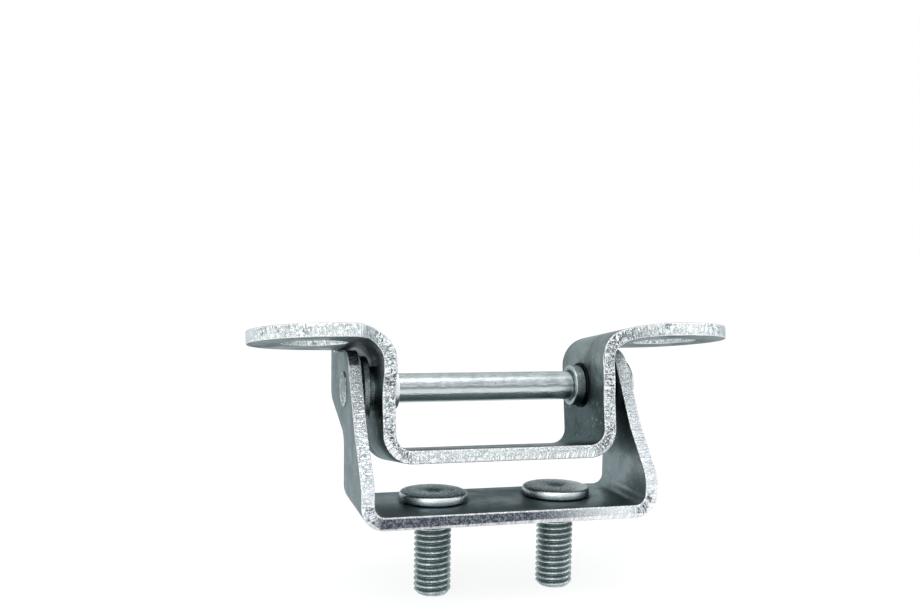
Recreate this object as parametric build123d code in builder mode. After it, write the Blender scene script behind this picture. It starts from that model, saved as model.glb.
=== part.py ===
from build123d import *
import math
import os

os.makedirs("parts", exist_ok=True)

# Sheet and frame
# The origin is on the mounting face of the base plate, half way between the studs
# X runs along the hinge pin, Z points away from the studs, minus Y is the front
sheet = 2.8
running_gap = 0.05
press_gap = 0.01

# Hinge pin
pin_y = 9.2
pin_z = 26.0
pin_radius = 3.25
pin_head_radius = 5.8
pin_head_height = 2.2
stake_radius = 3.9
stake_height = 0.4
pin_hole_radius = pin_radius + press_gap

# Base bracket
ear_outer = 32.0
ear_inner = ear_outer - sheet
plate_front = -13.2
plate_back = 9.0
base_bend_inside = 2.2
base_bend_outside = base_bend_inside + sheet
ear_tip_radius = 7.4
ear_front_height = 8.8
ear_front_waist = (-5.0, 18.2)
ear_waist_radius = 12.0
lobe_back = 28.5
lobe_top = pin_z + 7.0
lobe_low_front = 15.8
lobe_low_back = 22.0
lip_top = pin_z + 8.8
lip_width = 2.4
lip_rise = 1.2

# Studs
stud_spacing = 28.0
stud_radius = 4.0
stud_seat_radius = 4.3
stud_length = 17.5
stud_tip_chamfer = 0.8
stud_head_radius = 7.4
stud_head_height = 2.0
stud_hole_radius = stud_seat_radius + press_gap

# Bushes
bush_radius = 4.6
bush_bore = pin_radius + running_gap
bush_flange_radius = 7.1
bush_shoulder_radius = 4.85
bush_shoulder = 1.2
bush_flange = 2.8
bush_flange_gap = 0.4
bush_reach = 2.8
bush_collar_radius = 5.2
bush_collar = 0.5
bush_hole_radius = bush_radius + press_gap

# Swing bracket, in its own frame with the pin at the origin
rest_angle = 8.8
channel_outer = ear_inner - bush_flange - bush_flange_gap
channel_inner = channel_outer - sheet
channel_depth = 16.3
channel_front = -12.7
channel_back = 10.4
wing_top = 11.9
wing_under = wing_top - sheet
wing_tip = 53.3
wing_radius = 16.4
wing_middle = -8.6
neck_front = -24.0
neck_high = 8.0
neck_low = 0.5
neck_radius = 8.0
wing_hole_x = 39.5
wing_hole_y = -10.3
wing_hole_radius = 6.75
low_bend_inside = 3.4
low_bend_outside = low_bend_inside + sheet
high_bend_inside = 4.2
high_bend_outside = high_bend_inside + sheet

# Planes of the swing bracket, leaning back by the rest angle
lean = math.radians(rest_angle)
pin_centre = (0, pin_y, pin_z)
swing_up = (0, math.sin(lean), math.cos(lean))
swing_forward = (0, -math.cos(lean), math.sin(lean))
swing_plan = Plane(origin=pin_centre, x_dir=(1, 0, 0), z_dir=swing_up)
swing_section = Plane(origin=pin_centre, x_dir=(1, 0, 0), z_dir=swing_forward)
swing_side = Plane(origin=pin_centre, x_dir=(0, math.cos(lean), -math.sin(lean)), z_dir=(1, 0, 0))
pin_plane = Plane(origin=pin_centre, x_dir=(0, 1, 0), z_dir=(1, 0, 0))


def tangent_point(start, centre, radius, side):
    """Point where a line from start touches a circle, on the chosen side."""
    dx, dy = centre[0] - start[0], centre[1] - start[1]
    reach = math.hypot(dx, dy)
    length = math.sqrt(reach * reach - radius * radius)
    turn = math.atan2(dy, dx) + side * math.asin(radius / reach)
    return (start[0] + length * math.cos(turn), start[1] + length * math.sin(turn))


def round_corner(sketch, corner, radius):
    """Fillet the sketch corner that lies nearest to the given point."""
    fillet(sketch.vertices().sort_by_distance((corner[0], corner[1], 0))[0], radius)


# Base bracket: one sheet bent up into two ears
def make_base_bracket():
    tip = (pin_y, pin_z)
    touch = tangent_point(ear_front_waist, tip, ear_tip_radius, 1)
    drop = math.sqrt(ear_tip_radius ** 2 - (lobe_top - pin_z) ** 2)
    sheet_top = lip_top + 1
    front_low = (plate_front, ear_front_height)
    lobe_start = (plate_back, lobe_low_front)
    lobe_corner = (lobe_back, lobe_low_back)
    lip_front = (lobe_back - lip_width, lip_top)
    lip_foot = (lobe_back - lip_width - lip_rise, lobe_top)
    with BuildPart() as bracket:
        with BuildSketch(Plane.XZ.offset(-plate_front)) as section:
            with BuildLine():
                Polyline(
                    (-ear_outer, 0), (ear_outer, 0), (ear_outer, sheet_top), (ear_inner, sheet_top),
                    (ear_inner, sheet), (-ear_inner, sheet), (-ear_inner, sheet_top),
                    (-ear_outer, sheet_top), close=True,
                )
            make_face()
            for side in (-1, 1):
                round_corner(section, (side * ear_outer, 0), base_bend_outside)
                round_corner(section, (side * ear_inner, sheet), base_bend_inside)
        extrude(amount=-(lobe_back - plate_front))
        with BuildSketch(Plane.YZ.offset(-ear_outer - 1)) as outline:
            with BuildLine():
                Polyline(
                    (plate_front, 0), (plate_back, 0), lobe_start, lobe_corner, (lobe_back, lip_top),
                    lip_front, lip_foot, (pin_y + drop, lobe_top), tip, touch, ear_front_waist,
                    front_low, close=True,
                )
            make_face()
            round_corner(outline, front_low, 6.0)
            round_corner(outline, ear_front_waist, ear_waist_radius)
            round_corner(outline, lobe_start, 3.5)
            round_corner(outline, lobe_corner, 3.0)
            round_corner(outline, (lobe_back, lip_top), 1.2)
            round_corner(outline, lip_front, 0.9)
            round_corner(outline, lip_foot, 1.2)
            with Locations(tip):
                Circle(ear_tip_radius)
        extrude(amount=2 * ear_outer + 2, mode=Mode.INTERSECT)
        with BuildSketch(pin_plane.offset(-ear_outer - 1)):
            Circle(pin_hole_radius)
        extrude(amount=2 * ear_outer + 2, mode=Mode.SUBTRACT)
        with BuildSketch(Plane.XY):
            with Locations((-stud_spacing / 2, 0), (stud_spacing / 2, 0)):
                Circle(stud_hole_radius)
        extrude(amount=sheet, mode=Mode.SUBTRACT)
    return bracket


# Swing bracket: one sheet bent into a channel with two rounded wings
def make_swing_bracket():
    wing_centre = wing_tip - wing_radius
    back_touch = tangent_point((channel_outer, channel_back), (wing_centre, wing_middle), wing_radius, 1)
    reach = wing_radius - wing_middle + 1
    with BuildPart() as bracket:
        with BuildSketch(swing_section.offset(reach)) as section:
            with BuildLine():
                Polyline(
                    (-wing_tip, wing_top), (-channel_inner, wing_top),
                    (-channel_inner, sheet - channel_depth), (channel_inner, sheet - channel_depth),
                    (channel_inner, wing_top), (wing_tip, wing_top), (wing_tip, wing_under),
                    (channel_outer, wing_under), (channel_outer, -channel_depth),
                    (-channel_outer, -channel_depth), (-channel_outer, wing_under),
                    (-wing_tip, wing_under), close=True,
                )
            make_face()
            for side in (-1, 1):
                round_corner(section, (side * channel_inner, wing_top), high_bend_outside)
                round_corner(section, (side * channel_outer, wing_under), high_bend_inside)
                round_corner(section, (side * channel_inner, sheet - channel_depth), low_bend_inside)
                round_corner(section, (side * channel_outer, -channel_depth), low_bend_outside)
        extrude(amount=-(reach + channel_back))
        with BuildSketch(swing_plan.offset(-channel_depth - 1)) as outline:
            with Locations((wing_centre, wing_middle)):
                Circle(wing_radius)
            with BuildLine():
                Polyline(
                    (0, channel_front), (channel_outer, channel_front), (wing_centre, wing_middle),
                    back_touch, (channel_outer, channel_back), (0, channel_back), close=True,
                )
            make_face()
            with Locations((wing_hole_x, wing_hole_y)):
                Circle(wing_hole_radius, mode=Mode.SUBTRACT)
            mirror(about=Plane.YZ)
        extrude(amount=channel_depth + wing_top + 2, mode=Mode.INTERSECT)
        with BuildSketch(swing_side.offset(-wing_centre)) as necks:
            with BuildLine():
                Polyline(
                    (channel_front, -channel_depth - 1), (channel_front, neck_low), (neck_front, neck_high),
                    (-wing_tip, neck_high), (-wing_tip, -channel_depth - 1), close=True,
                )
            make_face()
            round_corner(necks, (channel_front, neck_low), neck_radius)
        extrude(amount=2 * wing_centre, mode=Mode.SUBTRACT)
        with BuildSketch(pin_plane.offset(-channel_outer - 1)):
            Circle(bush_hole_radius)
        extrude(amount=2 * channel_outer + 2, mode=Mode.SUBTRACT)
    return bracket


# Hinge pin: headed on the right, staked over on the left
def make_hinge_pin():
    with BuildPart() as pin:
        with BuildSketch(pin_plane.offset(-ear_outer)):
            Circle(pin_radius)
        extrude(amount=2 * ear_outer)
        with BuildSketch(pin_plane.offset(ear_outer)):
            Circle(pin_head_radius)
        extrude(amount=pin_head_height)
        with BuildSketch(pin_plane.offset(-ear_outer - stake_height)):
            Circle(stake_radius)
        extrude(amount=stake_height)
        rims = pin.edges().filter_by(GeomType.CIRCLE)
        fillet(rims.sort_by(Axis.X)[-1], 0.6)
        chamfer(rims.sort_by(Axis.X)[0], 0.25)
    return pin


# Bush: a sleeve through the channel wall, a shoulder and flange outside, a thin collar inside
def make_bush(side):
    wall = side * channel_outer
    inner = side * channel_inner
    with BuildPart() as bush:
        with BuildSketch(pin_plane.offset(wall + side * bush_shoulder)):
            Circle(bush_flange_radius)
        extrude(amount=side * (bush_flange - bush_shoulder))
        with BuildSketch(pin_plane.offset(wall)):
            Circle(bush_shoulder_radius)
        extrude(amount=side * bush_shoulder)
        with BuildSketch(pin_plane.offset(wall)):
            Circle(bush_radius)
        extrude(amount=-side * (sheet + bush_reach))
        with BuildSketch(pin_plane.offset(inner)):
            Circle(bush_collar_radius)
        extrude(amount=-side * bush_collar)
        with BuildSketch(pin_plane.offset(side * (ear_inner + 1))):
            Circle(bush_bore)
        extrude(amount=-side * (sheet + bush_reach + bush_flange + 4), mode=Mode.SUBTRACT)
    return bush


# Stud: a flat round head, a seat pressed into the plate and a shank for the thread
def make_stud(x):
    with BuildPart() as stud:
        with BuildSketch(Plane.XY.offset(sheet)):
            with Locations((x, 0)):
                Circle(stud_head_radius)
        extrude(amount=stud_head_height)
        chamfer(stud.edges().filter_by(GeomType.CIRCLE).sort_by(Axis.Z)[-1], 0.4)
        with BuildSketch(Plane.XY.offset(sheet)):
            with Locations((x, 0)):
                Circle(stud_seat_radius)
        extrude(amount=-sheet)
        with BuildSketch(Plane.XY):
            with Locations((x, 0)):
                Circle(stud_radius)
        extrude(amount=-stud_length)
        chamfer(stud.edges().filter_by(GeomType.CIRCLE).sort_by(Axis.Z)[0], stud_tip_chamfer)
    return stud


base_bracket = make_base_bracket()
swing_bracket = make_swing_bracket()
hinge_pin = make_hinge_pin()
bush_left = make_bush(-1)
bush_right = make_bush(1)
stud_left = make_stud(-stud_spacing / 2)
stud_right = make_stud(stud_spacing / 2)

base_bracket.part.label = "base_bracket"
swing_bracket.part.label = "swing_bracket"
hinge_pin.part.label = "hinge_pin"
bush_left.part.label = "bush_left"
bush_right.part.label = "bush_right"
stud_left.part.label = "stud_left"
stud_right.part.label = "stud_right"

export_step(base_bracket.part, "parts/base_bracket.step")
export_step(swing_bracket.part, "parts/swing_bracket.step")
export_step(hinge_pin.part, "parts/hinge_pin.step")
export_step(bush_left.part, "parts/bush_left.step")
export_step(bush_right.part, "parts/bush_right.step")
export_step(stud_left.part, "parts/stud_left.step")
export_step(stud_right.part, "parts/stud_right.step")
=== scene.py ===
import math

import bpy
from mathutils import Matrix, Vector


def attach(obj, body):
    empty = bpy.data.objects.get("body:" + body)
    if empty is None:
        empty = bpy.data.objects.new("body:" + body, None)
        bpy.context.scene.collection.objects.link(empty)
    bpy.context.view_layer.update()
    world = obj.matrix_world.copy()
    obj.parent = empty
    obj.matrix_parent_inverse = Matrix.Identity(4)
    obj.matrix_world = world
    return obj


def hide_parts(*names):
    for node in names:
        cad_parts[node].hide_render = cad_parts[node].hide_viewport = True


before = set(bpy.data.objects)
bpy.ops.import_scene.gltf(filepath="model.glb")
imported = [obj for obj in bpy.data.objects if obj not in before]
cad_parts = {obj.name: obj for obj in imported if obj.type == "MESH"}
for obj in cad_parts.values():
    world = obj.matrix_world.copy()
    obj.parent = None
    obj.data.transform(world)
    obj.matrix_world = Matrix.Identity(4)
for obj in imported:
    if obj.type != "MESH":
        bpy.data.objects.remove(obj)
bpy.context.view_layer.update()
print("frame loaded")

mm = 0.001  # the hinge's sizes are in millimetres and are turned to metres by this

# points this near to each other are one, and faces this near to one plane, in degrees, are one
merging = {"points": 0.002, "turnedPoints": 0.001, "faces": 0.6}

pinAxis = (9.2, 26.0)  # y and z of the pin, about which the swing bracket turns


# shaping helpers

def chooseOnly(piece):
    bpy.ops.object.select_all(action="DESELECT")
    piece.select_set(True)
    bpy.context.view_layer.objects.active = piece


def startEditing(piece, what="VERT"):
    chooseOnly(piece)
    bpy.ops.object.mode_set(mode="EDIT")
    bpy.ops.mesh.select_mode(type=what)


def stopEditing():
    bpy.ops.object.mode_set(mode="OBJECT")


def smoothBelow(piece, degrees):
    chooseOnly(piece)
    bpy.ops.object.shade_smooth_by_angle(angle=math.radians(degrees))


def settleInPlace(piece):
    # the place goes into the mesh, so patterns on Object coordinates stay put
    chooseOnly(piece)
    bpy.ops.object.transform_apply(location=True, rotation=True, scale=True)


def copyOfPart(nodeName, pieceName):
    # a merged copy of a CAD part, ready to be finished
    piece = bpy.data.objects.new(pieceName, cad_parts[nodeName].data.copy())
    bpy.context.scene.collection.objects.link(piece)
    piece.data.materials.clear()
    startEditing(piece)
    bpy.ops.mesh.select_all(action="SELECT")
    bpy.ops.mesh.customdata_custom_splitnormals_clear()
    bpy.ops.mesh.remove_doubles(threshold=merging["points"] * mm)
    bpy.ops.mesh.dissolve_limited(angle_limit=math.radians(merging["faces"]))
    stopEditing()
    return piece


def turnAlong(name, axis, start, profile, closed=False, sides=96):
    # a turned piece: one ring per profile entry (radius, distance), each extruded from the last
    turn = {"X": (0, math.pi / 2, 0), "Z": (0, 0, 0)}[axis]
    step = {"X": Vector((1, 0, 0)), "Z": Vector((0, 0, 1))}[axis]
    keep = {"X": (1, 0, 0), "Z": (0, 0, 1)}[axis]
    radius, place = profile[0]
    centre = Vector(start) * mm + step * place * mm
    bpy.ops.object.select_all(action="DESELECT")
    bpy.ops.mesh.primitive_circle_add(
        vertices=sides, radius=radius * mm, fill_type="NOTHING" if closed else "NGON",
        location=centre, rotation=turn)
    piece = bpy.context.object
    piece.name = name
    settleInPlace(piece)
    startEditing(piece, "EDGE" if closed else "FACE")
    bpy.ops.mesh.select_all(action="SELECT")
    for nextRadius, nextPlace in profile[1:]:
        move = step * (nextPlace - place) * mm
        centre = centre + move
        if closed:
            bpy.ops.mesh.extrude_edges_move(TRANSFORM_OT_translate={"value": move})
        else:
            bpy.ops.mesh.extrude_region_move(TRANSFORM_OT_translate={"value": move})
        if abs(nextRadius - radius) > 1e-6:
            size = nextRadius / radius
            bpy.ops.transform.resize(
                value=[1 if k else size for k in keep], center_override=centre)
        radius, place = nextRadius, nextPlace
    bpy.ops.mesh.select_all(action="SELECT")
    bpy.ops.mesh.remove_doubles(threshold=merging["turnedPoints"] * mm)
    bpy.ops.mesh.normals_make_consistent(inside=False)
    stopEditing()
    return piece


# shader groups

def newGroup(name, inputs, outputs):
    group = bpy.data.node_groups.new(name, "ShaderNodeTree")
    for label, kind, value in inputs:
        socket = group.interface.new_socket(name=label, in_out="INPUT", socket_type=kind)
        if value is not None:
            socket.default_value = value
    for label, kind in outputs:
        group.interface.new_socket(name=label, in_out="OUTPUT", socket_type=kind)
    return group, group.nodes.new("NodeGroupInput"), group.nodes.new("NodeGroupOutput")


def addNode(tree, kind, settings=(), **values):
    node = tree.nodes.new(kind)
    for key, value in dict(settings).items():
        setattr(node, key, value)
    for key, value in values.items():
        node.inputs[key.replace("_", " ")].default_value = value
    return node


def scaled(tree, vector, factors):
    node = addNode(tree, "ShaderNodeVectorMath", {"operation": "MULTIPLY"})
    tree.links.new(vector, node.inputs[0])
    node.inputs[1].default_value = factors
    return node.outputs[0]


def sums(tree, operation, first, second, clamp=False):
    node = addNode(tree, "ShaderNodeMath", {"operation": operation, "use_clamp": clamp})
    for socket, value in zip(node.inputs, (first, second)):
        if isinstance(value, (int, float)):
            socket.default_value = value
        else:
            tree.links.new(value, socket)
    return node.outputs[0]


def ranged(tree, value, low, high, outLow=0.0, outHigh=1.0):
    node = addNode(tree, "ShaderNodeMapRange", {"interpolation_type": "SMOOTHSTEP"})
    tree.links.new(value, node.inputs["Value"])
    for label, number in (("From Min", low), ("From Max", high), ("To Min", outLow), ("To Max", outHigh)):
        node.inputs[label].default_value = number
    return node.outputs["Result"]


def between(tree, value, riseFrom, riseTo, fallFrom, fallTo):
    # 1 from the end of the rise to the start of the fall, and 0 beyond both
    return sums(tree, "MULTIPLY", ranged(tree, value, riseFrom, riseTo),
                ranged(tree, value, fallTo, fallFrom))


def inShares(tree, first, firstShare, second, secondShare):
    return sums(tree, "ADD", sums(tree, "MULTIPLY", first, firstShare),
                sums(tree, "MULTIPLY", second, secondShare))


def noiseOf(tree, vector, scale, detail=3.0, roughness=0.55, distortion=0.0):
    node = addNode(tree, "ShaderNodeTexNoise", Detail=detail, Roughness=roughness, Distortion=distortion)
    tree.links.new(vector, node.inputs["Vector"])
    if isinstance(scale, (int, float)):
        node.inputs["Scale"].default_value = scale
    else:
        tree.links.new(scale, node.inputs["Scale"])
    return node.outputs["Fac"]


def mixColours(tree, factor, first, second):
    node = addNode(tree, "ShaderNodeMix", {"data_type": "RGBA"})
    sockets = [s for s in node.inputs if s.type == "RGBA"]
    for socket, value in zip(sockets, (first, second)):
        if isinstance(value, tuple):
            socket.default_value = value + (1.0,)
        else:
            tree.links.new(value, socket)
    tree.links.new(factor, node.inputs["Factor"])
    return [s for s in node.outputs if s.type == "RGBA"][0]


grainShape = {
    "cloudNoise": (5.0, 0.62, 0.4), "cloudRange": (0.32, 0.68),
    "grainNoise": (4.0, 0.65), "grainRange": (0.3, 0.7),
    "cloudInHeight": 0.8,
}


def makeZincGrain():
    # cloudy plating and fine grain, on a place given in millimetres
    shape = grainShape
    group, given, result = newGroup(
        "zincGrain",
        [("Place", "NodeSocketVector", None), ("Cloud Scale", "NodeSocketFloat", 0.12),
         ("Grain Scale", "NodeSocketFloat", 2.2)],
        [("Cloud", "NodeSocketFloat"), ("Grain", "NodeSocketFloat"), ("Height", "NodeSocketFloat")])
    place = given.outputs["Place"]
    cloud = noiseOf(group, place, given.outputs["Cloud Scale"], *shape["cloudNoise"])
    grain = noiseOf(group, place, given.outputs["Grain Scale"], *shape["grainNoise"])
    height = inShares(group, cloud, shape["cloudInHeight"], grain, 1.0)
    group.links.new(ranged(group, cloud, *shape["cloudRange"]), result.inputs["Cloud"])
    group.links.new(ranged(group, grain, *shape["grainRange"]), result.inputs["Grain"])
    group.links.new(height, result.inputs["Height"])
    return group


edgeShape = {
    "raggedNoise": (1.1, 3.0, 0.6), "raggedMiddle": 0.5, "raggedDepth": 0.3,
    "edgeRange": (0.02, 0.14), "burrAndHighlightRange": (0.01, 0.08), "burrAndHighlightEnd": (0.42, 0.2),
    "markStretch": (2.6, 2.6, 0.4), "markNoise": (1.0, 3.0, 0.6, 0.3), "markRange": (0.46, 0.62),
    "fleckStretch": (1.0, 1.0, 0.8), "fleckNoise": (1.9, 5.0, 0.7, 0.8), "fleckRange": (0.46, 0.60),
    "wornNoise": (0.21, 3.0, 0.5, 0.5), "wornRange": (0.40, 0.60),
}


def makeShearedEdge():
    # where the sheet was cut: Place is (along the sheet, across it, through its thickness)
    shape = edgeShape
    group, given, result = newGroup(
        "shearedEdge",
        [("Place", "NodeSocketVector", None), ("Half Thickness", "NodeSocketFloat", 1.4)],
        [("Edge", "NodeSocketFloat"), ("BurrAndHighlight", "NodeSocketFloat"), ("Marks", "NodeSocketFloat"),
         ("Fleck", "NodeSocketFloat"), ("Worn", "NodeSocketFloat")])
    place = given.outputs["Place"]
    parts = addNode(group, "ShaderNodeSeparateXYZ")
    group.links.new(place, parts.inputs[0])
    depth = sums(group, "SUBTRACT", given.outputs["Half Thickness"],
                 sums(group, "ABSOLUTE", parts.outputs["Z"], 0.0))
    ragged = noiseOf(group, place, *shape["raggedNoise"])
    ragged = sums(group, "SUBTRACT", ragged, shape["raggedMiddle"])
    shifted = sums(group, "ADD", depth, sums(group, "MULTIPLY", ragged, shape["raggedDepth"]))
    # along both rims of the cut: the burr, and a painted highlight on the rounded corners
    burrAndHighlight = sums(group, "MULTIPLY", ranged(group, depth, *shape["burrAndHighlightRange"]),
                ranged(group, shifted, *shape["burrAndHighlightEnd"]))
    marks = noiseOf(group, scaled(group, place, shape["markStretch"]), *shape["markNoise"])
    fleck = noiseOf(group, scaled(group, place, shape["fleckStretch"]), *shape["fleckNoise"])
    worn = noiseOf(group, place, *shape["wornNoise"])
    group.links.new(ranged(group, shifted, *shape["edgeRange"]), result.inputs["Edge"])
    group.links.new(burrAndHighlight, result.inputs["BurrAndHighlight"])
    group.links.new(ranged(group, marks, *shape["markRange"]), result.inputs["Marks"])
    group.links.new(ranged(group, fleck, *shape["fleckRange"]), result.inputs["Fleck"])
    group.links.new(ranged(group, worn, *shape["wornRange"]), result.inputs["Worn"])
    return group


markShape = {
    "alongStretch": (0.16, 4.2, 1.0), "alongNoise": (1.0, 2.0, 0.5, 1.2), "alongRange": (0.66, 0.72),
    "acrossStretch": (2.2, 0.3, 1.0), "acrossNoise": (1.0, 2.0, 0.5, 2.4), "acrossRange": (0.70, 0.77),
    "speckRange": (0.16, 0.07), "speckedNoise": (0.35, 2.0), "speckedRange": (0.56, 0.66),
}


def makeHandlingMarks():
    # fine scratches and small dark specks left by handling
    shape = markShape
    group, given, result = newGroup(
        "handlingMarks",
        [("Place", "NodeSocketVector", None), ("Speck Scale", "NodeSocketFloat", 0.55)],
        [("Scratch", "NodeSocketFloat"), ("Speck", "NodeSocketFloat")])
    place = given.outputs["Place"]
    along = noiseOf(group, scaled(group, place, shape["alongStretch"]), *shape["alongNoise"])
    across = noiseOf(group, scaled(group, place, shape["acrossStretch"]), *shape["acrossNoise"])
    scratch = sums(group, "MAXIMUM", ranged(group, along, *shape["alongRange"]),
                   ranged(group, across, *shape["acrossRange"]))
    speckNode = addNode(group, "ShaderNodeTexVoronoi")
    group.links.new(place, speckNode.inputs["Vector"])
    group.links.new(given.outputs["Speck Scale"], speckNode.inputs["Scale"])
    specked = noiseOf(group, place, *shape["speckedNoise"])
    speck = sums(group, "MULTIPLY", ranged(group, speckNode.outputs["Distance"], *shape["speckRange"]),
                 ranged(group, specked, *shape["speckedRange"]))
    group.links.new(scratch, result.inputs["Scratch"])
    group.links.new(speck, result.inputs["Speck"])
    return group


zincGrain = makeZincGrain()
shearedEdge = makeShearedEdge()
handlingMarks = makeHandlingMarks()
print("shader groups made")


def useGroup(tree, group, **values):
    node = tree.nodes.new("ShaderNodeGroup")
    node.node_tree = group
    for key, value in values.items():
        socket = node.inputs[key.replace("_", " ")]
        if isinstance(value, (int, float)):
            socket.default_value = value
        else:
            tree.links.new(value, socket)
    return node


def newMetal(name, grazing):
    material = bpy.data.materials.new(name)
    material.use_nodes = True
    shader = material.node_tree.nodes["Principled BSDF"]
    shader.inputs["Metallic"].default_value = 1.0
    shader.inputs["Specular Tint"].default_value = grazing + (1.0,)
    return material, material.node_tree, shader


def addBump(tree, shader, height, distance):
    bump = addNode(tree, "ShaderNodeBump", Strength=1.0, Distance=distance * mm)
    tree.links.new(height, bump.inputs["Height"])
    tree.links.new(bump.outputs["Normal"], shader.inputs["Normal"])


def tinted(tree, mask, share, colour, tint):
    # the colour, tinted by this share where the mask is 1
    return mixColours(tree, sums(tree, "MULTIPLY", mask, share), colour, tint)


# materials

# what both brackets share
sheetLook = {
    "burrAndHighlight": (0.97, 0.98, 0.99), "darkTint": (0.05, 0.062, 0.065), "grazing": (0.55, 0.62, 0.64),
    "faceRoughness": (0.30, 0.44),
    "cloudScale": 0.11, "grainScale": 1.3, "speckScale": 0.5,
    "rolledStretch": (0.22, 1.7, 1.0), "rolledCloudScale": 0.4, "rolledGrainScale": 2.2,
    "cloudShare": 0.6, "rolledShare": 0.4, "scratchShare": 0.14, "speckShare": 0.8, "burrAndHighlightShare": 0.8,
    "bentShare": 0.7, "wornShare": 0.3, "bendSoftness": (1.5, 1.0),
    "faceBump": (0.04, 0.012), "edgeBump": (0.08, -0.10), "bump": 1.0,
}

baseLook = {
    "darkZinc": (0.172, 0.220, 0.232), "lightZinc": (0.30, 0.345, 0.355),
    "edgeDark": (0.06, 0.072, 0.10), "edgeLight": (0.88, 0.94, 0.98), "edgeRoughness": (0.22, 0.40),
    # stretches along the sheet from its middle, and how roughly each is cut
    "bends": ((27.0, 32.7, 1.0),),
    # how dark the flecks and the creases are where the cut is smooth, and where it is rough
    "flecks": (0.03, 0.6), "creases": (0.03, 0.75),
    # the cut edge is darker along the plate, from its left end to its middle and fading out to the right,
    # and at the tip of the left ear, where it is painted shade of the wing above it
    "darkened": {"stretch": (-32.0, -27.0, 2.0, 27.0), "tip": (-58.9, -59.7),
             "patch": (0.3, 0.0, 1.0, 0.82)},
    # round each stud on the plate: a dark line of painted shade where the head meets it, and a brighter
    # rim outside it
    "studRing": {"studs": 14.0, "line": (7.0, 7.3, 7.7, 8.3), "rim": (7.7, 8.3, 8.3, 8.9),
                    "lineShare": 0.75, "rimShare": 0.35},
}

swingLook = {
    "darkZinc": (0.045, 0.066, 0.069), "lightZinc": (0.36, 0.41, 0.415),
    "edgeDark": (0.10, 0.125, 0.15), "edgeLight": (0.91, 0.97, 0.985), "edgeRoughness": (0.20, 0.38),
    "bends": ((20.5, 27.4, 1.0), (27.4, 38.0, 0.7), (38.0, 50.5, 1.0), (50.5, 80.0, 0.5)),
    "flecks": (0.0, 0.95), "creases": (0.0, 0.45),
    # painted shade: the channel and its walls are darker than the wings; where that ends, and by what
    # share
    "paintedShade": (33.0, 43.0, 0.85),
}


def bentWhere(tree, along, look):
    # how roughly each stretch of the sheet is cut: 1 on its bends, less on its flats
    outside, inside = look["bendSoftness"]
    total = 0.0
    for first, last, share in look["bends"]:
        rise = ranged(tree, along, first - outside, first + inside, 0.0, share)
        fall = ranged(tree, along, last + outside, last - inside)
        total = sums(tree, "ADD", total, sums(tree, "MULTIPLY", rise, fall), clamp=True)
    return total


def addStudRing(tree, parts, look, face):
    ring = look["studRing"]
    sideways = sums(tree, "SUBTRACT", sums(tree, "ABSOLUTE", parts.outputs["X"], 0.0), ring["studs"])
    squares = sums(tree, "ADD", sums(tree, "MULTIPLY", sideways, sideways),
                   sums(tree, "MULTIPLY", parts.outputs["Y"], parts.outputs["Y"]))
    distance = sums(tree, "POWER", squares, 0.5)
    line = between(tree, distance, *ring["line"])
    rim = between(tree, distance, *ring["rim"])
    # painted shade: the dark line round the stud head's edge, in the dark colour of the specks
    face = tinted(tree, line, ring["lineShare"], face, look["darkTint"])
    return tinted(tree, rim, ring["rimShare"], face, look["lightZinc"])


# the plate's darker cut edge, and painted shade of the wing on the left ear's tip
def darkenedWhere(tree, along, look, fleck):
    stretch = between(tree, along, *look["darkened"]["stretch"])
    darkened = sums(tree, "MAXIMUM", stretch, ranged(tree, along, *look["darkened"]["tip"]))
    return sums(tree, "MULTIPLY", darkened, ranged(tree, fleck, *look["darkened"]["patch"]))


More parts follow.
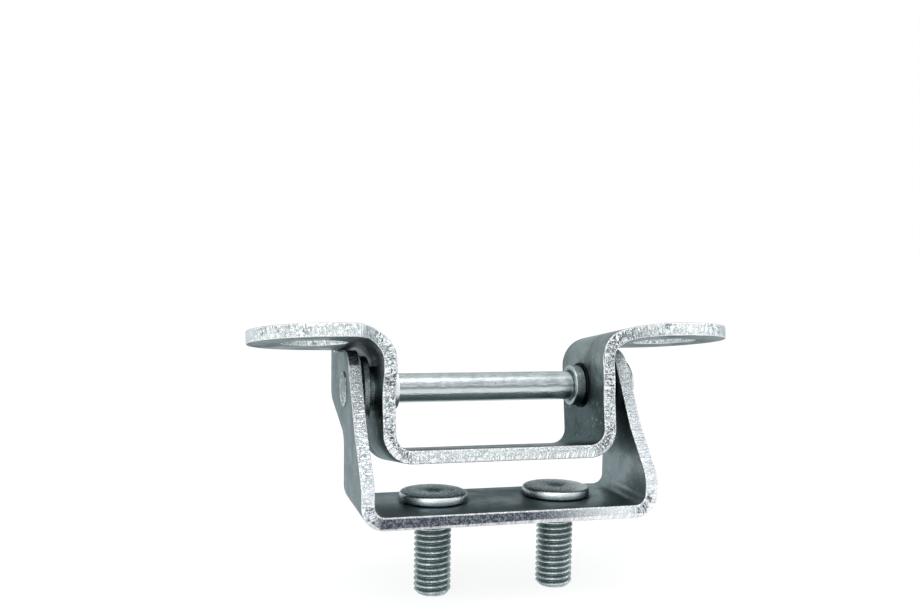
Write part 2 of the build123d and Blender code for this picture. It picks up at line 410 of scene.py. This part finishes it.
def makeSheetMaterial(name, ownLook):
    look = {**sheetLook, **ownLook}
    material, tree, shader = newMetal(name, look["grazing"])
    place = addNode(tree, "ShaderNodeAttribute", {"attribute_name": "sheetPlace"}).outputs["Vector"]
    parts = addNode(tree, "ShaderNodeSeparateXYZ")
    tree.links.new(place, parts.inputs[0])
    rolled = scaled(tree, place, look["rolledStretch"])
    grain = useGroup(tree, zincGrain, Place=place, Cloud_Scale=look["cloudScale"],
                     Grain_Scale=look["grainScale"])
    rolling = useGroup(tree, zincGrain, Place=rolled, Cloud_Scale=look["rolledCloudScale"],
                       Grain_Scale=look["rolledGrainScale"])
    edge = useGroup(tree, shearedEdge, Place=place)
    marks = useGroup(tree, handlingMarks, Place=place, Speck_Scale=look["speckScale"])
    fleck = edge.outputs["Fleck"]

    # the rolled faces
    away = sums(tree, "ABSOLUTE", parts.outputs["X"], 0.0)
    tone = inShares(tree, grain.outputs["Cloud"], look["cloudShare"],
                    rolling.outputs["Grain"], look["rolledShare"])
    # painted shade on the channel and its walls, darker away from the wings
    if "paintedShade" in look:
        low, high, paintedShade = look["paintedShade"]
        tone = sums(tree, "MULTIPLY", tone, ranged(tree, away, low, high, 1.0 - paintedShade, 1.0))
    face = mixColours(tree, tone, look["darkZinc"], look["lightZinc"])
    face = tinted(tree, marks.outputs["Scratch"], look["scratchShare"], face, look["edgeLight"])
    face = tinted(tree, marks.outputs["Speck"], look["speckShare"], face, look["darkTint"])
    if "studRing" in look:
        face = addStudRing(tree, parts, look, face)

    # the cut edges
    rough = inShares(tree, bentWhere(tree, away, look), look["bentShare"],
                     edge.outputs["Worn"], look["wornShare"])
    flecked = sums(tree, "MULTIPLY", fleck, ranged(tree, rough, 0.0, 1.0, *look["flecks"]))
    creased = sums(tree, "MULTIPLY", edge.outputs["Marks"],
                   ranged(tree, rough, 0.0, 1.0, *look["creases"]))
    dark = sums(tree, "ADD", flecked, creased, clamp=True)
    # darker plate edge, and painted shade on the left ear's tip
    if "darkened" in look:
        darkened = darkenedWhere(tree, parts.outputs["X"], look, fleck)
        dark = sums(tree, "MAXIMUM", dark, darkened, clamp=True)
    cut = mixColours(tree, dark, look["edgeLight"], look["edgeDark"])
    colour = mixColours(tree, edge.outputs["Edge"], face, cut)
    # bright lines along both rims of the cut edge: the burr, and a painted highlight on the rounded
    # corners
    colour = tinted(tree, edge.outputs["BurrAndHighlight"], look["burrAndHighlightShare"], colour, look["burrAndHighlight"])
    tree.links.new(colour, shader.inputs["Base Color"])

    # one roughness for the faces and another for the cut edges
    low, high = look["faceRoughness"]
    faceRough = ranged(tree, grain.outputs["Cloud"], 0.0, 1.0, high, low)
    edgeRough = ranged(tree, fleck, 0.0, 1.0, *look["edgeRoughness"])
    roughness = addNode(tree, "ShaderNodeMix", {"data_type": "FLOAT"})
    factor, first, second = [socket for socket in roughness.inputs if socket.type == "VALUE"][:3]
    tree.links.new(edge.outputs["Edge"], factor)
    tree.links.new(faceRough, first)
    tree.links.new(edgeRough, second)
    tree.links.new(roughness.outputs["Result"], shader.inputs["Roughness"])

    cloudBump, rolledBump = look["faceBump"]
    faceHeight = inShares(tree, grain.outputs["Height"], cloudBump, rolling.outputs["Grain"], rolledBump)
    markBump, fleckBump = look["edgeBump"]
    edgeHeight = inShares(tree, edge.outputs["Marks"], markBump, fleck, fleckBump)
    height = sums(tree, "ADD", faceHeight, sums(tree, "MULTIPLY", edgeHeight, edge.outputs["Edge"]))
    addBump(tree, shader, height, look["bump"])
    return material


# what the pin, the bushes and the studs share
turnedLook = {
    # the gap colour is painted shade for the gaps between parts
    "darkTint": (0.05, 0.06, 0.06), "gapShade": (0.012, 0.014, 0.014), "grazing": (0.6, 0.66, 0.68),
    "cloudScale": 0.35, "grainScale": 2.0, "streakCloudScale": 0.8, "streakGrainScale": 3.5,
    "speckScale": 0.7, "cloudShare": 0.4, "streakShare": 0.6, "heightShare": 0.6,
    # the attribute "rim" is 1 or more on edges with a painted highlight, 0 in gaps with painted shade and
    # 0.5 elsewhere
    "gapShadeRange": (0.45, 0.0),
}


def startTurned(name, stretch):
    look = turnedLook
    material, tree, shader = newMetal(name, look["grazing"])
    coordinates = addNode(tree, "ShaderNodeTexCoord").outputs["Object"]
    place = scaled(tree, coordinates, (1 / mm, 1 / mm, 1 / mm))
    drawn = scaled(tree, place, stretch)
    grain = useGroup(tree, zincGrain, Place=place, Cloud_Scale=look["cloudScale"],
                     Grain_Scale=look["grainScale"])
    streaks = useGroup(tree, zincGrain, Place=drawn, Cloud_Scale=look["streakCloudScale"],
                       Grain_Scale=look["streakGrainScale"])
    marks = useGroup(tree, handlingMarks, Place=place, Speck_Scale=look["speckScale"])
    tone = inShares(tree, grain.outputs["Cloud"], look["cloudShare"],
                    streaks.outputs["Grain"], look["streakShare"])
    height = inShares(tree, grain.outputs["Height"], look["heightShare"], streaks.outputs["Grain"], 1.0)
    return material, tree, shader, place, tone, marks.outputs["Speck"], height


def finishTurned(tree, shader, colour, tone, height, look):
    tree.links.new(colour, shader.inputs["Base Color"])
    low, high = look["roughness"]
    tree.links.new(ranged(tree, tone, 0.0, 1.0, high, low), shader.inputs["Roughness"])
    addBump(tree, shader, height, look["bump"])


pinLook = {
    "stretch": (0.12, 1.0, 1.0), "roughness": (0.12, 0.22), "bump": 0.012, "speckShare": 0.7,
    "dark": (0.32, 0.37, 0.385), "light": (0.60, 0.655, 0.675),
    # painted light: the lower side is brighter, below these heights
    "under": (0.80, 0.86, 0.88), "paintedLightUnderRange": (27.1, 24.1), "waviness": 0.4,
    # painted reflection: a dark line runs along the shank at these heights
    "line": (0.20, 0.235, 0.245), "lineHeights": (26.1, 26.4, 26.6, 27.0), "lineShare": 0.75,
    "shankRange": (30.0, 26.0),
    # the staked end is darker
    "staked": (0.24, 0.275, 0.28), "stakedRange": (-31.8, -32.0), "stakedTone": (0.9, 0.4),
    "stakedShare": 0.9,
}


def makePinMaterial():
    look = pinLook
    material, tree, shader, place, tone, speck, height = startTurned("zincPin", look["stretch"])
    parts = addNode(tree, "ShaderNodeSeparateXYZ")
    tree.links.new(place, parts.inputs[0])
    colour = mixColours(tree, tone, look["dark"], look["light"])
    wavy = sums(tree, "ADD", parts.outputs["Z"], sums(tree, "MULTIPLY", tone, look["waviness"]))
    # painted light on the lower side of the pin
    colour = mixColours(tree, ranged(tree, wavy, *look["paintedLightUnderRange"]), colour, look["under"])
    onShank = ranged(tree, sums(tree, "ABSOLUTE", parts.outputs["X"], 0.0), *look["shankRange"])
    # painted reflection: a dark line along the shank
    line = sums(tree, "MULTIPLY", between(tree, wavy, *look["lineHeights"]), onShank)
    colour = tinted(tree, line, look["lineShare"], colour, look["line"])
    atEnd = ranged(tree, parts.outputs["X"], *look["stakedRange"])
    staked = sums(tree, "MULTIPLY", atEnd, ranged(tree, tone, *look["stakedTone"]))
    colour = tinted(tree, staked, look["stakedShare"], colour, look["staked"])
    colour = tinted(tree, speck, look["speckShare"], colour, turnedLook["darkTint"])
    finishTurned(tree, shader, colour, tone, height, look)
    return material


bushLook = {
    "stretch": (1.4, 0.5, 0.5), "roughness": (0.24, 0.40), "bump": 0.02, "speckShare": 0.7,
    "dark": (0.10, 0.125, 0.13), "light": (0.36, 0.41, 0.42),
    # painted highlight on the end of the sleeve
    "rim": (0.42, 0.47, 0.48), "rimHighlightRange": (0.55, 1.0),
    # painted light: the left bush is brighter still, which its attribute "rim" says with 1.5
    "leftBushPaintedLight": (0.84, 0.885, 0.90), "leftBushPaintedLightRange": (1.0, 1.5),
}


def makeBushMaterial():
    look = bushLook
    material, tree, shader, place, tone, speck, height = startTurned("zincBush", look["stretch"])
    rim = addNode(tree, "ShaderNodeAttribute", {"attribute_name": "rim"}).outputs["Fac"]
    colour = mixColours(tree, tone, look["dark"], look["light"])
    colour = tinted(tree, speck, look["speckShare"], colour, turnedLook["darkTint"])
    # painted highlight on the sleeve's end, and painted light on the left bush
    colour = mixColours(tree, ranged(tree, rim, *look["rimHighlightRange"]), colour, look["rim"])
    colour = mixColours(tree, ranged(tree, rim, *look["leftBushPaintedLightRange"]), colour, look["leftBushPaintedLight"])
    # painted shade in the gap at the collar and inside the wall
    colour = mixColours(tree, ranged(tree, rim, *turnedLook["gapShadeRange"]), colour, turnedLook["gapShade"])
    finishTurned(tree, shader, colour, tone, height, look)
    return material


studLook = {
    "stretch": (0.6, 0.6, 1.8), "roughness": (0.20, 0.36), "bump": 0.02, "speckShare": 0.75,
    "threadDark": (0.19, 0.23, 0.232), "threadLight": (0.52, 0.61, 0.62),
    # painted shade in the thread's roots and a painted highlight on its crests
    "root": (0.15, 0.18, 0.185), "rootShadeRange": (0.3, 1.0),
    "crest": (0.69, 0.78, 0.79), "crestHighlightRange": (0.25, 0.0), "crestHighlightTone": (0.35, 0.75), "crestHighlightShare": 0.6,
    # the head's colours take over between these heights
    "headDark": (0.46, 0.515, 0.525), "headLight": (0.74, 0.80, 0.815), "headFrom": (0.0, 1.0),
    # painted highlight on the head's rim
    "headRimHighlight": (0.66, 0.71, 0.725), "rimHighlightRange": (0.52, 1.0),
}


def makeStudMaterial():
    look = studLook
    material, tree, shader, place, tone, speck, height = startTurned("zincStud", look["stretch"])
    depth = addNode(tree, "ShaderNodeAttribute", {"attribute_name": "threadDepth"}).outputs["Fac"]
    rim = addNode(tree, "ShaderNodeAttribute", {"attribute_name": "rim"}).outputs["Fac"]
    parts = addNode(tree, "ShaderNodeSeparateXYZ")
    tree.links.new(place, parts.inputs[0])
    thread = mixColours(tree, tone, look["threadDark"], look["threadLight"])
    # painted shade in the thread's roots and a painted highlight on its crests
    thread = mixColours(tree, ranged(tree, depth, *look["rootShadeRange"]), thread, look["root"])
    crest = sums(tree, "MULTIPLY", ranged(tree, depth, *look["crestHighlightRange"]),
                 ranged(tree, tone, *look["crestHighlightTone"]))
    thread = tinted(tree, crest, look["crestHighlightShare"], thread, look["crest"])
    head = mixColours(tree, tone, look["headDark"], look["headLight"])
    # painted highlight on the head's rim
    head = mixColours(tree, ranged(tree, rim, *look["rimHighlightRange"]), head, look["headRimHighlight"])
    # painted shade in the gap under the head
    head = mixColours(tree, ranged(tree, rim, *turnedLook["gapShadeRange"]), head, turnedLook["gapShade"])
    colour = mixColours(tree, ranged(tree, parts.outputs["Z"], *look["headFrom"]), thread, head)
    colour = tinted(tree, speck, look["speckShare"], colour, turnedLook["darkTint"])
    finishTurned(tree, shader, colour, tone, height, look)
    return material


baseZinc = makeSheetMaterial("zincBase", baseLook)
swingZinc = makeSheetMaterial("zincSwing", swingLook)
pinZinc = makePinMaterial()
bushZinc = makeBushMaterial()
studZinc = makeStudMaterial()
print("materials made")


# brackets

sheet = {"roundOff": 0.26, "roundSteps": 3, "sharpFrom": 38, "smoothBelow": 34}


def roundSharpEdges(piece):
    startEditing(piece, "EDGE")
    bpy.ops.mesh.select_all(action="DESELECT")
    bpy.ops.mesh.edges_select_sharp(sharpness=math.radians(sheet["sharpFrom"]))
    bpy.ops.mesh.bevel(offset=sheet["roundOff"] * mm, segments=sheet["roundSteps"], profile=0.5,
                       affect="EDGES", clamp_overlap=False)
    bpy.ops.mesh.select_all(action="SELECT")
    bpy.ops.mesh.remove_doubles(threshold=merging["points"] * mm)
    stopEditing()
    smoothBelow(piece, sheet["smoothBelow"])


def unrolled(x, z, stretches):
    # place on the flat sheet of a bent one: stretches run from the middle outwards
    along = 0.0
    for kind, data in stretches:
        if kind == "run":
            (x0, z0), (x1, z1) = data
            length = math.hypot(x1 - x0, z1 - z0)
            dx, dz = (x1 - x0) / length, (z1 - z0) / length
            t = (x - x0) * dx + (z - z0) * dz
            out = (x - x0) * dz - (z - z0) * dx
            if t <= length or data is stretches[-1][1]:
                return along + t, out
            along += length
        else:
            (cx, cz), radius, fromAngle, toAngle = data
            angle = math.degrees(math.atan2(z - cz, x - cx))
            span = toAngle - fromAngle
            share = ((angle - fromAngle + 180) % 360 - 180) / span
            if share <= 1:
                sign = 1 if span > 0 else -1
                out = sign * (math.hypot(x - cx, z - cz) - radius)
                return along + max(share, 0) * abs(math.radians(span)) * radius, out
            along += abs(math.radians(span)) * radius
    return along, 0.0


def markSheet(piece, toSection, stretches):
    # every point keeps its place on the flat sheet, so grain and cut marks follow the bends
    marks = piece.data.attributes.new("sheetPlace", "FLOAT_VECTOR", "POINT")
    for vertex, mark in zip(piece.data.vertices, marks.data):
        x, y, z = toSection(vertex.co / mm)
        along, out = unrolled(abs(x), z, stretches)
        mark.vector = (math.copysign(along, x), y, out)


def smoothStep(value, low, high):
    share = min(max((value - low) / (high - low), 0.0), 1.0)
    return share * share * (3 - 2 * share)


earTip = {"radius": 7.4, "near": 0.05, "raise": 1.0}


def raiseEarTips(piece):
    # the ears end a little fuller at the top than a plain arc, close under the wings
    pinY, pinZ = pinAxis
    for vertex in piece.data.vertices:
        y, z = vertex.co.y / mm - pinY, vertex.co.z / mm - pinZ
        reach = math.hypot(y, z)
        if abs(reach - earTip["radius"]) < earTip["near"] and z > 0:
            grown = 1 + earTip["raise"] * smoothStep(z, 0.0, earTip["radius"]) / reach
            vertex.co.y, vertex.co.z = (pinY + y * grown) * mm, (pinZ + z * grown) * mm


# how far forward of the pin the front edge reaches at the wall, and where the wing takes over
neckShape = {"left": 15.6, "right": 13.1, "wallFront": 12.7, "soft": 1.0,
             "wingFrom": 26.0, "wingTo": 33.0}


def easeNecks(piece, toSection, lean):
    # front edges slide along the sheet, back to where the real necks run, and slow down gently
    shape = neckShape
    forward = Vector((0, -math.cos(lean), math.sin(lean)))
    for vertex in piece.data.vertices:
        x, back, up = toSection(vertex.co / mm)
        limit = shape["left"] if x < 0 else shape["right"]
        start = max(limit - shape["soft"], shape["wallFront"])
        beyond = -back - start
        if beyond > 0 and abs(x) < shape["wingTo"]:
            room = limit - start
            slowing = min(beyond, 2 * room)
            excess = beyond - slowing + slowing * slowing / (4 * room)
            kept = excess * smoothStep(abs(x), shape["wingFrom"], shape["wingTo"])
            vertex.co -= forward * (excess - kept) * mm


# the middle of each sheet's thickness, from the middle of the bracket outwards
baseBends = {"plateMiddle": 1.4, "bendMiddle": (27.0, 5.0), "bendRadius": 3.6,
             "earMiddle": 30.6, "earEnd": 40}
swingBends = {"lean": 8.8, "floorMiddle": -14.9, "lowMiddle": (19.8, -10.1), "lowRadius": 4.8,
              "wallMiddle": 24.6, "highMiddle": (30.2, 4.9), "highRadius": 5.6,
              "wingMiddle": 10.5, "wingEnd": 60}


def makeBaseBracket():
    piece = copyOfPart("base_bracket", "baseBracket")
    raiseEarTips(piece)
    roundSharpEdges(piece)
    bend = baseBends
    plate, ear = bend["plateMiddle"], bend["earMiddle"]
    bendX, bendZ = bend["bendMiddle"]
    stretches = [
        ("run", ((0, plate), (bendX, plate))),
        ("bend", ((bendX, bendZ), bend["bendRadius"], -90, 0)),
        ("run", ((ear, bendZ), (ear, bend["earEnd"]))),
    ]
    markSheet(piece, lambda p: (p.x, p.y, p.z), stretches)
    piece.data.materials.append(baseZinc)
    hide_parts("base_bracket")
    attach(piece, "base")


def makeSwingBracket():
    piece = copyOfPart("swing_bracket", "swingBracket")
    bend = swingBends
    lean = math.radians(bend["lean"])
    pinY, pinZ = pinAxis
    wall, floor, wing = bend["wallMiddle"], bend["floorMiddle"], bend["wingMiddle"]
    (lowX, lowZ), (highX, highZ) = bend["lowMiddle"], bend["highMiddle"]
    stretches = [
        ("run", ((0, floor), (lowX, floor))),
        ("bend", ((lowX, lowZ), bend["lowRadius"], -90, 0)),
        ("run", ((wall, lowZ), (wall, highZ))),
        ("bend", ((highX, highZ), bend["highRadius"], 180, 90)),
        ("run", ((highX, wing), (bend["wingEnd"], wing))),
    ]

    def toSection(p):
        # a place as the sheet's section has it: about the pin, without the lean
        y, z = p.y - pinY, p.z - pinZ
        return p.x, y * math.cos(lean) - z * math.sin(lean), y * math.sin(lean) + z * math.cos(lean)

    easeNecks(piece, toSection, lean)
    roundSharpEdges(piece)
    markSheet(piece, toSection, stretches)
    piece.data.materials.append(swingZinc)
    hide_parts("swing_bracket")
    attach(piece, "swing")


makeBaseBracket()
makeSwingBracket()
print("brackets finished")


# pin, bushes and studs

def markRims(piece, markAt):
    # edges with a painted highlight are 1 or more, gaps with painted shade are 0, the rest is 0.5
    marks = piece.data.attributes.new("rim", "FLOAT", "POINT")
    for vertex, mark in zip(piece.data.vertices, marks.data):
        mark.value = markAt(vertex.co / mm)


pinSizes = {"radius": 3.25, "stakedEnd": -32.4, "ear": 32.0, "headRadius": 5.8, "headEnd": 34.2,
            "smoothBelow": 50}


def makePin():
    size = pinSizes
    r, left, ear, end = size["radius"], size["stakedEnd"], size["ear"], size["headEnd"]
    head = size["headRadius"]
    profile = [
        # the staked end, spread over the left ear
        (0.5, left + 0.22), (1.7, left + 0.14), (2.0, left + 0.18), (2.3, left + 0.5),
        (2.75, left + 0.52), (3.0, left + 0.1), (3.3, left), (3.6, left + 0.03), (3.86, left + 0.2),
        (3.9, left + 0.34), (3.88, left + 0.4), (r, left + 0.4),
        # the shank
        (r, -29.0), (r, -20.0), (r, 0.0), (r, 20.0), (r, 29.0), (r, ear),
        # the head, against the right ear
        (head - 0.25, ear), (head, ear + 0.25), (head, end - 0.75), (head - 0.12, end - 0.38),
        (head - 0.42, end - 0.12), (head - 0.9, end - 0.02), (3.2, end - 0.02), (2.6, end - 0.08),
        (2.2, end - 0.3), (0.5, end - 0.36),
    ]
    piece = turnAlong("hingePin", "X", (0, *pinAxis), profile)
    smoothBelow(piece, size["smoothBelow"])
    piece.data.materials.append(pinZinc)
    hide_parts("hinge_pin")
    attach(piece, "base")


bushSizes = {"bore": 3.3, "sleeve": 4.6, "collar": 5.2, "shoulder": 4.85, "flange": 7.1,
             "innerEnd": 20.4, "innerWall": 23.2, "outerWall": 26.0, "flangeStart": 27.2,
             "flangeEnd": 28.8, "brightDepth": 0.3, "brightWidth": 0.35, "darkDepth": 0.52,
             "smoothBelow": 40}


def bushMark(place, side):
    # the end of the sleeve gets a painted highlight, the collar and what the wall holds get painted
    # shade, and the left bush gets painted light inside the wall
    size = bushSizes
    away = abs(place.x)
    reach = math.hypot(place.y - pinAxis[0], place.z - pinAxis[1])
    if size["innerWall"] - size["darkDepth"] < away < size["outerWall"]:
        return 0.0
    if side < 0 and away < size["innerWall"]:
        return 1.5
    onEnd = away < size["innerEnd"] + size["brightDepth"] and reach > size["sleeve"] - size["brightWidth"]
    return 1.0 if onEnd else 0.5


def makeBush(side, name, node):
    size = bushSizes
    bore, sleeve, flange = size["bore"], size["sleeve"], size["flange"]
    inner, wall, outer = size["innerEnd"], size["innerWall"], size["outerWall"]
    collar, shoulder = size["collar"], size["shoulder"]
    start, end = size["flangeStart"], size["flangeEnd"]
    profile = [
        # the sleeve
        (bore + 0.25, inner), (sleeve - 0.3, inner), (sleeve - 0.08, inner + 0.08),
        (sleeve, inner + 0.25), (sleeve, inner + 0.4), (sleeve, wall - 0.62), (sleeve, wall - 0.5),
        # the collar, against the inside of the wall
        (sleeve, wall - 0.05), (collar - 0.3, wall - 0.05), (collar - 0.28, wall - 0.32),
        (collar - 0.14, wall - 0.42), (collar, wall - 0.28), (collar, wall), (sleeve, wall),
        # through the wall to the flange
        (sleeve, outer), (shoulder, outer), (shoulder, start), (flange - 0.2, start),
        (flange, start + 0.2), (flange, end - 0.3), (flange - 0.3, end),
        # back along the bore
        (bore + 0.25, end), (bore, end - 0.25), (bore, inner + 0.25), (bore + 0.25, inner),
    ]
    profile = [(radius, side * place) for radius, place in profile]
    piece = turnAlong(name, "X", (0, *pinAxis), profile, closed=True)
    markRims(piece, lambda place: bushMark(place, side))
    smoothBelow(piece, size["smoothBelow"])
    piece.data.materials.append(bushZinc)
    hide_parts(node)
    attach(piece, "swing")


studSizes = {"spacing": 28.0, "plate": 2.8, "radius": 4.0, "root": 3.3, "pitch": 1.25, "tip": -17.5,
             "tipChamfer": 0.8, "threadTop": -0.5, "threadFade": 0.9, "crest": (0.1, 0.82),
             "shankOverRoot": 0.42, "headRadius": 7.4, "headTop": 4.8, "rimGap": 0.22,
             "rimWidth": 0.52, "stepsPerPitch": 12, "sides": 72, "smoothBelow": 60}


def threadedRadius(size, angle, z):
    # rolled thread: rounded crests, fading out under the plate and cut by the tip's chamfer
    turn = (z / size["pitch"] - angle / (2 * math.pi)) % 1.0
    crest = smoothStep(abs(2 * turn - 1), *size["crest"])
    fade = min(max((size["threadTop"] - z) / size["threadFade"], 0.0), 1.0)
    shank = size["root"] + size["shankOverRoot"]
    radius = shank + fade * (size["root"] + (size["radius"] - size["root"]) * crest - shank)
    chamfer = size["radius"] - size["tipChamfer"] + (z - size["tip"])
    return min(radius, chamfer)


def makeStud(side, name, node):
    size = studSizes
    x = side * size["spacing"] / 2
    plate, tip, head, top = size["plate"], size["tip"], size["headRadius"], size["headTop"]
    r, tipRadius = size["radius"], size["radius"] - size["tipChamfer"]
    under = plate + size["rimGap"]
    step = size["pitch"] / size["stepsPerPitch"]
    profile = [(0.6, tip + 0.12), (tipRadius - 0.5, tip + 0.1), (tipRadius, tip)]
    profile += [(r, tip + (row + 1) * step) for row in range(int(-tip / step))]
    profile += [
        (r, plate), (head - 1.2, plate), (head - 0.9, under), (head - 0.2, under),
        (head, under + 0.15), (head - 0.05, top - 0.5), (head - 0.2, top - 0.22),
        (head - 0.5, top - 0.06), (head - 1.0, top), (2.6, top - 0.02), (1.9, top - 0.12),
        (1.0, top - 0.3), (0.4, top - 0.34),
    ]
    piece = turnAlong(name, "Z", (x, 0, 0), profile, sides=size["sides"])
    marks = piece.data.attributes.new("threadDepth", "FLOAT", "POINT")
    for vertex, mark in zip(piece.data.vertices, marks.data):
        offset = vertex.co / mm - Vector((x, 0, 0))
        reach = math.hypot(offset.x, offset.y)
        if offset.z < -0.001 and reach > tipRadius - 0.05:
            wanted = threadedRadius(size, math.atan2(offset.y, offset.x), offset.z)
            vertex.co.x = (x + offset.x * wanted / reach) * mm
            vertex.co.y = offset.y * wanted / reach * mm
            if offset.z > tip + 0.6:
                mark.value = (r - wanted) / (r - size["root"])

    def studMark(place):
        # the head's rim gets a painted highlight, and the gap under it painted shade
        if plate - 0.01 < place.z < under + 0.01:
            return 0.0
        onRim = math.hypot(place.x - x, place.y) > head - size["rimWidth"]
        return 1.0 if onRim and under < place.z < top - 0.04 else 0.5

    markRims(piece, studMark)
    smoothBelow(piece, size["smoothBelow"])
    piece.data.materials.append(studZinc)
    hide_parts(node)
    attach(piece, "base")


makePin()
makeBush(-1, "bushLeft", "bush_left")
makeBush(1, "bushRight", "bush_right")
makeStud(-1, "studLeft", "stud_left")
makeStud(1, "studRight", "stud_right")
print("pin, bushes and studs made")


# floor, light and camera

# the lengths here and of the lamps are in metres
stage = {
    "floorSize": 6.0, "floorZ": -0.0175, "floorColour": (0.2, 0.2, 0.202, 1), "floorLift": 0.84,
    "floorRoughness": 0.9, "floorGloss": 0.1, "backdrop": 1.0,
    # the soft light comes from this direction, at these levels from opposite it to there
    "softFrom": (-0.35, -0.62, 0.70), "softTint": (0.97, 1.0, 1.01),
    "soft": ((0.0, 0.25), (0.42, 0.35), (0.58, 0.6), (0.78, 0.95), (1.0, 1.05)),
}


def seenDirectly(tree):
    # camera, mirror-like and see-through rays all see the pale surroundings
    path = addNode(tree, "ShaderNodeLightPath")
    both = sums(tree, "MAXIMUM", path.outputs["Is Camera Ray"], path.outputs["Is Glossy Ray"])
    return sums(tree, "MAXIMUM", both, path.outputs["Is Transmission Ray"])


def makeFloor():
    bpy.ops.object.select_all(action="DESELECT")
    bpy.ops.mesh.primitive_plane_add(size=stage["floorSize"], location=(0, 0, stage["floorZ"]))
    floor = bpy.context.object
    floor.name = "floor"
    settleInPlace(floor)
    material = bpy.data.materials.new("paleFloor")
    material.use_nodes = True
    tree = material.node_tree
    shader = tree.nodes["Principled BSDF"]
    shader.inputs["Base Color"].default_value = stage["floorColour"]
    shader.inputs["Roughness"].default_value = stage["floorRoughness"]
    shader.inputs["Specular IOR Level"].default_value = stage["floorGloss"]
    shader.inputs["Emission Color"].default_value = (1, 1, 1, 1)
    lift = sums(tree, "MULTIPLY", seenDirectly(tree), stage["floorLift"])
    tree.links.new(lift, shader.inputs["Emission Strength"])
    floor.data.materials.append(material)


def makeWorld():
    world = bpy.data.worlds.new("studio")
    bpy.context.scene.world = world
    world.use_nodes = True
    tree = world.node_tree
    background = tree.nodes["Background"]
    direction = addNode(tree, "ShaderNodeTexCoord").outputs["Generated"]
    facing = addNode(tree, "ShaderNodeVectorMath", {"operation": "DOT_PRODUCT"})
    tree.links.new(direction, facing.inputs[0])
    facing.inputs[1].default_value = Vector(stage["softFrom"]).normalized()
    share = sums(tree, "MULTIPLY", sums(tree, "ADD", facing.outputs["Value"], 1.0), 0.5)
    soft = addNode(tree, "ShaderNodeValToRGB")
    tree.links.new(share, soft.inputs["Fac"])
    ramp = soft.color_ramp
    ramp.elements[0].position, ramp.elements[1].position = 0.0, 1.0
    for place, level in stage["soft"][1:-1]:
        ramp.elements.new(place)
    for element, (place, level) in zip(ramp.elements, stage["soft"]):
        element.color = tuple(level * tint for tint in stage["softTint"]) + (1,)
    colour = mixColours(tree, seenDirectly(tree), soft.outputs["Color"], (stage["backdrop"],) * 3)
    tree.links.new(colour, background.inputs["Color"])
    background.inputs["Strength"].default_value = 1.0


lamps = {
    "topLamp": {"place": (-0.05, -0.16, 0.50), "size": (0.50, 0.28), "power": 0.8},
    "frontLamp": {"place": (-0.32, -0.50, 0.26), "size": (0.40, 0.34), "power": 0.95},
    "sideLamp": {"place": (0.50, -0.10, 0.20), "size": (0.20, 0.30), "power": 0.3},
}
aim = Vector((0, 0.005, 0.018))


def makeLamps():
    for name, lamp in lamps.items():
        place = Vector(lamp["place"])
        bpy.ops.object.light_add(type="AREA", location=place)
        light = bpy.context.object
        light.name = name
        light.rotation_euler = (aim - place).to_track_quat("-Z", "Y").to_euler()
        light.data.shape = "RECTANGLE"
        light.data.size, light.data.size_y = lamp["size"]
        light.data.energy = lamp["power"]


# the place is in millimetres, the angles are in degrees, and clip is in metres
view = {"place": (-63.37, -190.12, 49.86), "yaw": 13.92, "pitch": -5.62, "roll": 0.66,
        "sensor": 36, "lens": 36.41, "shift": (0.0387, 0.0703), "clip": (0.01, 20)}


def makeCamera():
    yaw, pitch, roll = (math.radians(view[k]) for k in ("yaw", "pitch", "roll"))
    forward = Vector((math.sin(yaw) * math.cos(pitch), math.cos(yaw) * math.cos(pitch), math.sin(pitch)))
    side = Vector((math.cos(yaw), -math.sin(yaw), 0))
    top = side.cross(forward)
    right = side * math.cos(roll) + top * math.sin(roll)
    up = top * math.cos(roll) - side * math.sin(roll)
    turned = Matrix((right, up, -forward)).transposed().to_4x4()
    turned.translation = Vector(view["place"]) * mm
    camera = bpy.data.objects.new("camera", bpy.data.cameras.new("camera"))
    bpy.context.scene.collection.objects.link(camera)
    camera.matrix_world = turned
    camera.data.sensor_width = view["sensor"]
    camera.data.lens = view["lens"]
    camera.data.shift_x, camera.data.shift_y = view["shift"]
    camera.data.clip_start, camera.data.clip_end = view["clip"]
    bpy.context.scene.camera = camera


makeFloor()
makeWorld()
makeLamps()
makeCamera()
bpy.context.scene.view_settings.view_transform = "Standard"
print("floor, light and camera set")
